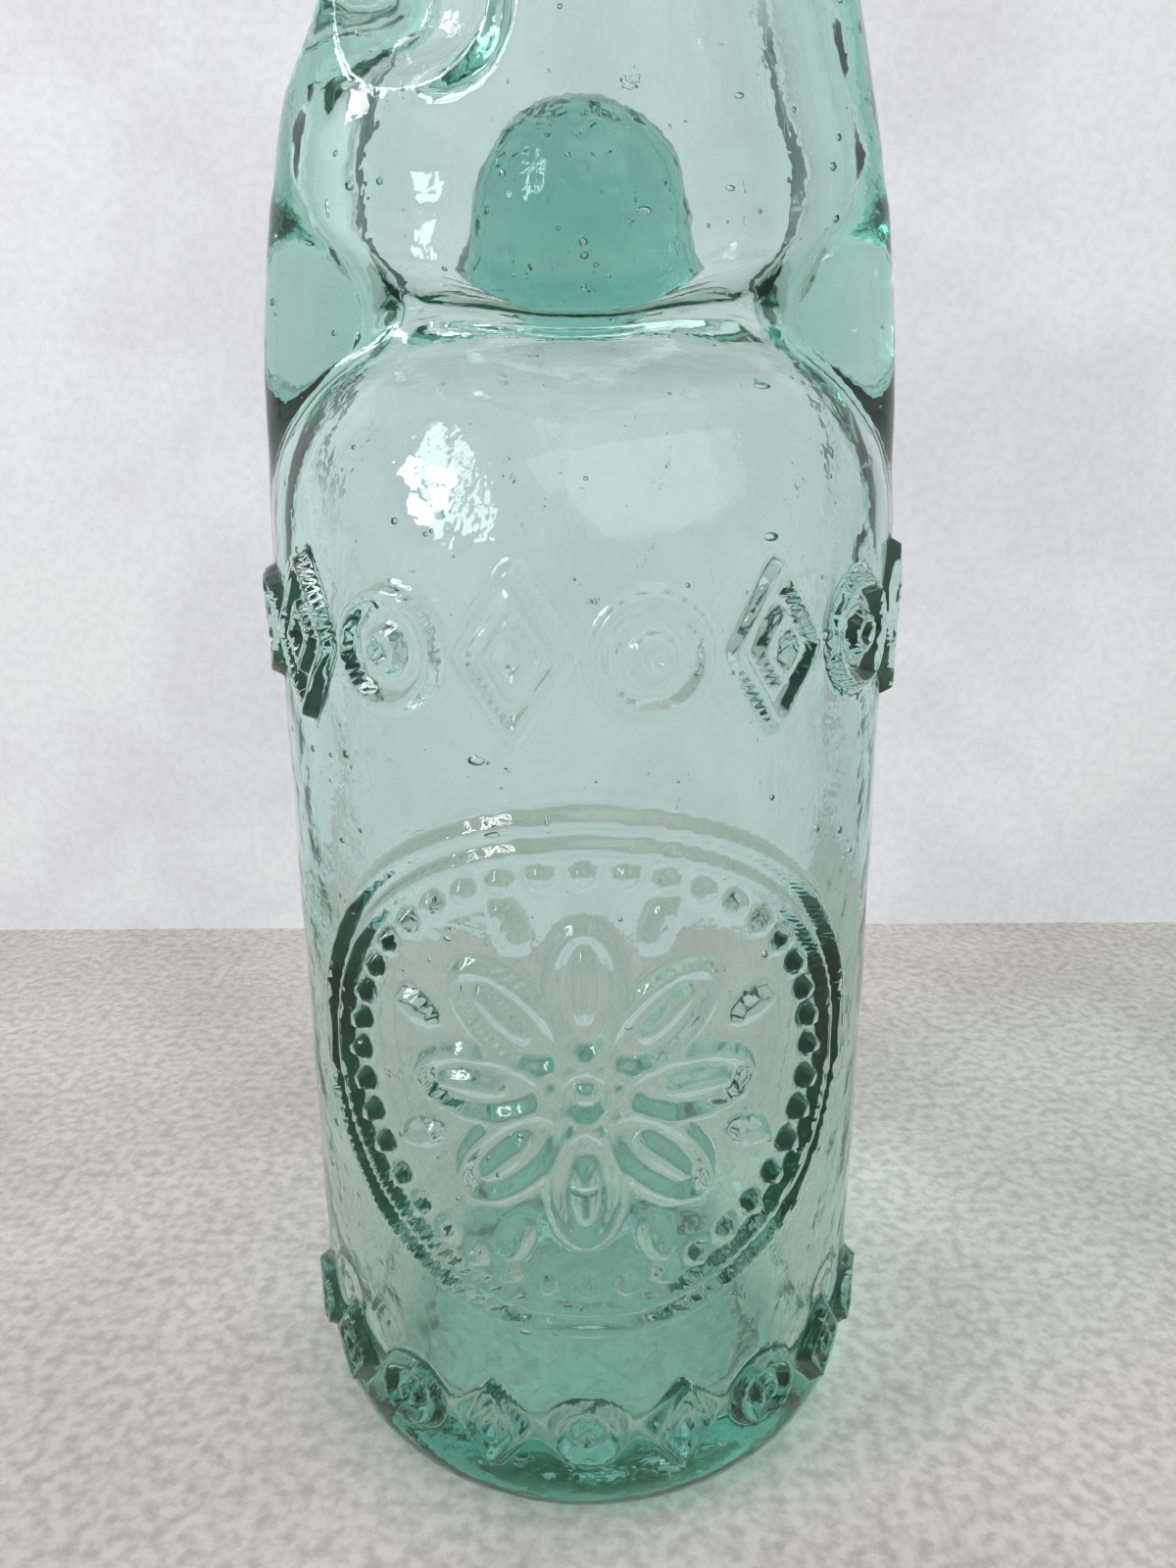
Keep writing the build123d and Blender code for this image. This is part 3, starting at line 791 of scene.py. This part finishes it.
def glass_material(name, tint, density, wear, soil=None, amount=0.5):
    """Aqua glass: worn clear skin with its colour inside. Lamps shine through it."""
    material, tree = new_material(name)
    where = put(tree, "ShaderNodeTexCoord")
    worn = put(tree, "ShaderNodeGroup", {"Amount": amount}, node_tree=wear)
    wave = put(tree, "ShaderNodeTexNoise", {
        "Vector": where.outputs["Object"], "Scale": 300.0, "Detail": 3.0})
    height = sum_of(tree, sum_of(tree, wave.outputs[0], SKIN_WAVE, "MULTIPLY"),
                    sum_of(tree, worn.outputs["Height"], SCRATCH_DEPTH, "MULTIPLY"))
    bump = put(tree, "ShaderNodeBump", {"Strength": 1.0, "Distance": 1.0, "Height": height})
    glass = put(tree, "ShaderNodeBsdfPrincipled", {
        "Base Color": (1, 1, 1, 1), "IOR": GLASS_BEND, "Transmission Weight": 1.0,
        "Normal": bump.outputs["Normal"]})
    dulled = sum_of(tree, worn.outputs["Dullness"], WORN_ROUGHNESS, "MULTIPLY")
    rough = sum_of(tree, dulled, CLEAR_ROUGHNESS)
    tree.links.new(rough, glass.inputs["Roughness"])
    # The glass's colour darkens to the painted shade along the folds of the hollow
    if soil:
        fold_shaded = put(tree, "ShaderNodeGroup", node_tree=soil)
        colour = put(tree, "ShaderNodeMix", {
            0: fold_shaded.outputs[0], 6: (1, 1, 1, 1), 7: FOLD_SHADE_COLOUR}, data_type="RGBA")
        tree.links.new(colour.outputs[2], glass.inputs["Base Color"])
    lamp_ray = put(tree, "ShaderNodeLightPath")
    clear = put(tree, "ShaderNodeBsdfTransparent", {"Color": LAMP_LIGHT_THROUGH})
    mixed = put(tree, "ShaderNodeMixShader", {
        0: lamp_ray.outputs["Is Shadow Ray"], 1: glass.outputs[0], 2: clear.outputs[0]})
    inside = put(tree, "ShaderNodeVolumeAbsorption", {"Color": tint, "Density": density})
    put(tree, "ShaderNodeOutputMaterial", {
        "Surface": mixed.outputs[0], "Volume": inside.outputs[0]})
    return material


def rubber_material(wear):
    """Dark moulded rubber with a grain, a grey bloom and worn places."""
    material, tree = new_material("moulded_rubber")
    where = put(tree, "ShaderNodeTexCoord")
    worn = put(tree, "ShaderNodeGroup", {"Amount": 0.9, "Patch Scale": 260.0}, node_tree=wear)
    grain = put(tree, "ShaderNodeTexNoise", {
        "Vector": where.outputs["Object"], "Scale": 2600.0, "Detail": 4.0})
    bloom = put(tree, "ShaderNodeTexNoise", {
        "Vector": where.outputs["Object"], "Scale": 340.0, "Detail": 5.0})
    colour = put(tree, "ShaderNodeMix", {
        0: smooth_range(tree, bloom.outputs[0], 0.42, 0.66), 6: RUBBER_COLOUR, 7: BLOOM_COLOUR},
        data_type="RGBA")
    height = sum_of(tree, grain.outputs[0], worn.outputs["Height"])
    bump = put(tree, "ShaderNodeBump", {"Strength": 0.5, "Distance": 0.00006, "Height": height})
    rough = put(tree, "ShaderNodeMapRange", {0: bloom.outputs[0], 3: 0.48, 4: 0.86})
    rubber = put(tree, "ShaderNodeBsdfPrincipled", {
        "Base Color": colour.outputs[2], "Roughness": rough.outputs[0],
        "Normal": bump.outputs["Normal"]})
    put(tree, "ShaderNodeOutputMaterial", {"Surface": rubber.outputs[0]})
    return material


# ---------------------------------------------------------------- making the pieces

BOTTLE_TINT = (0.283, 0.717, 0.625, 1)
BOTTLE_TINT_PER_METRE = 60.0
MARBLE_TINT = (0.30, 0.75, 0.69, 1)
MARBLE_TINT_PER_METRE = 100.0

wear = handling_wear_group()
# The bottle's glass carries the painted shade in the folds of its hollow
aqua = glass_material(
    "aqua_bottle_glass", BOTTLE_TINT, BOTTLE_TINT_PER_METRE, wear, soil=painted_fold_shade_group())
deep_aqua = glass_material(
    "aqua_marble_glass", MARBLE_TINT, MARBLE_TINT_PER_METRE, wear, amount=0.8)

points, faces, unrolled, outside = bottle_mesh()
bottle = mesh_object("aqua_bottle", points, faces, unrolled=unrolled, outside=outside)
grown(bottle, ornamented_glass_tree(figure_row_tree(), rosette_panel_tree()), glass=aqua)
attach(bottle, "bottle")
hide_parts("bottle_glass")

stopper = mesh_object("glass_stopper", np.zeros((1, 3)), [])
grown(stopper, seedy_marble_tree(), glass=deep_aqua)
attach(stopper, "marble")
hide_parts("glass_marble")

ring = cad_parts["sealing_ring"]
ring.data.materials.clear()
ring.data.materials.append(rubber_material(wear))

# ---------------------------------------------------------------- stage, light and camera

STAGE_REACH = 1.5
TABLE_DEPTH = 0.119
TABLE_COLOURS = (0.53, 0.49, 0.465), (0.61, 0.57, 0.54)
WALL_COLOURS = (0.815, 0.80, 0.84), (0.895, 0.89, 0.905)


def stage_material(name, colours, scale, grit, one_sided=False):
    """Plain pale surface with a soft mottle and grit. A one-sided wall is clear from behind."""
    low, high = colours
    material, tree = new_material(name)
    where = put(tree, "ShaderNodeTexCoord")
    mottle = put(tree, "ShaderNodeTexNoise", {
        "Vector": where.outputs["Object"], "Scale": scale, "Detail": 2.0})
    colour = put(tree, "ShaderNodeMix", {
        0: smooth_range(tree, mottle.outputs[0], 0.35, 0.65), 6: low + (1,), 7: high + (1,)},
        data_type="RGBA")
    specks = put(tree, "ShaderNodeTexNoise", {
        "Vector": where.outputs["Object"], "Scale": 620.0, "Detail": 6.0})
    speck = put(tree, "ShaderNodeMapRange", {
        0: specks.outputs[0], 1: 0.36, 2: 0.60, 3: 1.0 - grit, 4: 1.0})
    gritty = put(tree, "ShaderNodeMix", {
        0: 1.0, 6: colour.outputs[2], 7: speck.outputs[0]}, data_type="RGBA", blend_type="MULTIPLY")
    bump = put(tree, "ShaderNodeBump", {
        "Strength": grit, "Distance": 0.0004, "Height": specks.outputs[0]})
    skin = put(tree, "ShaderNodeBsdfPrincipled", {
        "Base Color": gritty.outputs[2], "Roughness": 0.75, "Normal": bump.outputs["Normal"]})
    surface = skin.outputs[0]
    if one_sided:
        facing = put(tree, "ShaderNodeNewGeometry").outputs["Backfacing"]
        surface = put(tree, "ShaderNodeMixShader", {
            0: facing, 1: surface, 2: put(tree, "ShaderNodeBsdfTransparent").outputs[0]}).outputs[0]
    put(tree, "ShaderNodeOutputMaterial", {"Surface": surface})
    return material


def stage_sheet(name, low_y, high_y, top, material):
    """Level or upright sheet across the whole stage."""
    mesh = bpy.data.meshes.new(name)
    mesh.from_pydata([(-STAGE_REACH, low_y, 0), (STAGE_REACH, low_y, 0), (STAGE_REACH, high_y, top),
                      (-STAGE_REACH, high_y, top)], [], [(0, 1, 2, 3)])
    made = bpy.data.objects.new(name, mesh)
    bpy.context.scene.collection.objects.link(made)
    mesh.materials.append(material)


stage_sheet("floor", -STAGE_REACH, STAGE_REACH, 0,
            stage_material("pale_table", TABLE_COLOURS, 26.0, 0.28))
stage_sheet("backdrop", TABLE_DEPTH, TABLE_DEPTH, STAGE_REACH,
            stage_material("pale_wall", WALL_COLOURS, 30.0, 0.06, one_sided=True))

ROOM_BEHIND_CAMERA = (0.46, 0.52, 0.51, 1)
ROOM_AROUND = (0.82, 0.82, 0.84, 1)
world = bpy.data.worlds.new("room")
bpy.context.scene.world = world
world.use_nodes = True
tree = world.node_tree
direction = put(tree, "ShaderNodeTexCoord")
apart = put(tree, "ShaderNodeSeparateXYZ", {0: direction.outputs["Generated"]})
room = put(tree, "ShaderNodeMix", {
    0: smooth_range(tree, apart.outputs["Y"], -0.95, -0.45), 6: ROOM_BEHIND_CAMERA, 7: ROOM_AROUND},
    data_type="RGBA")
tree.links.new(room.outputs[2], tree.nodes["Background"].inputs["Color"])


def window(name, place, target, size, strength):
    """Soft lamp that stands for a window."""
    lamp = bpy.data.lights.new(name, "AREA")
    lamp.shape = "RECTANGLE"
    lamp.size, lamp.size_y = size
    lamp.energy = strength
    made = bpy.data.objects.new(name, lamp)
    bpy.context.scene.collection.objects.link(made)
    made.location = place
    made.rotation_euler = (Vector(target) - Vector(place)).to_track_quat("-Z", "Y").to_euler()


# The left window is seen through leaves, as a few uneven patches: aside, up, width and height
WINDOW_PLACE = (-0.55, -0.35, 0.55)
WINDOW_ASIDE = (0.537, -0.843)
WINDOW_TARGET = (0, 0, 0.1)
PANE_LIGHT = 45.0
PANES = ((-0.09, 0.16, 0.11, 0.13), (0.07, 0.15, 0.13, 0.09), (-0.06, 0.02, 0.14, 0.08),
         (0.10, 0.00, 0.07, 0.12), (0.02, -0.13, 0.12, 0.10))
for number, (aside, lift, width, tall) in enumerate(PANES):
    place = (WINDOW_PLACE[0] + WINDOW_ASIDE[0] * aside, WINDOW_PLACE[1] + WINDOW_ASIDE[1] * aside,
             WINDOW_PLACE[2] + lift)
    window("left_window_pane_" + str(number + 1), place, WINDOW_TARGET, (width, tall),
           PANE_LIGHT * width * tall)
window("room_light", place=(0.3, -0.5, 0.9), target=(0, 0, 0.05), size=(0.8, 0.8), strength=2.4)

CAMERA_PLACE = (0.00041, -0.1143, 0.1008)
CAMERA_DIP = math.radians(16.5)
CAMERA_ROLL = math.radians(0.39)
CAMERA_LENS = 27.05
camera_data = bpy.data.cameras.new("camera")
camera_data.lens = CAMERA_LENS
camera_data.sensor_width = 36.0
camera_data.clip_start = 0.005
camera = bpy.data.objects.new("camera", camera_data)
bpy.context.scene.collection.objects.link(camera)
forward = Vector((0, math.cos(CAMERA_DIP), -math.sin(CAMERA_DIP)))
upward = Vector((0, math.sin(CAMERA_DIP), math.cos(CAMERA_DIP)))
rightward = Vector((1, 0, 0))
right = rightward * math.cos(CAMERA_ROLL) - upward * math.sin(CAMERA_ROLL)
up = rightward * math.sin(CAMERA_ROLL) + upward * math.cos(CAMERA_ROLL)
turn = Matrix((right, up, -forward)).transposed().to_4x4()
camera.matrix_world = Matrix.Translation(CAMERA_PLACE) @ turn
bpy.context.scene.camera = camera
bpy.context.scene.view_settings.view_transform = "Standard"
# Light is followed far enough through the thick glass that its edges don't go black.
SKINS_CROSSED = 26
REFLECTIONS = 20
light_paths = bpy.context.scene.cycles
light_paths.max_bounces = SKINS_CROSSED
light_paths.transmission_bounces = SKINS_CROSSED
light_paths.glossy_bounces = REFLECTIONS
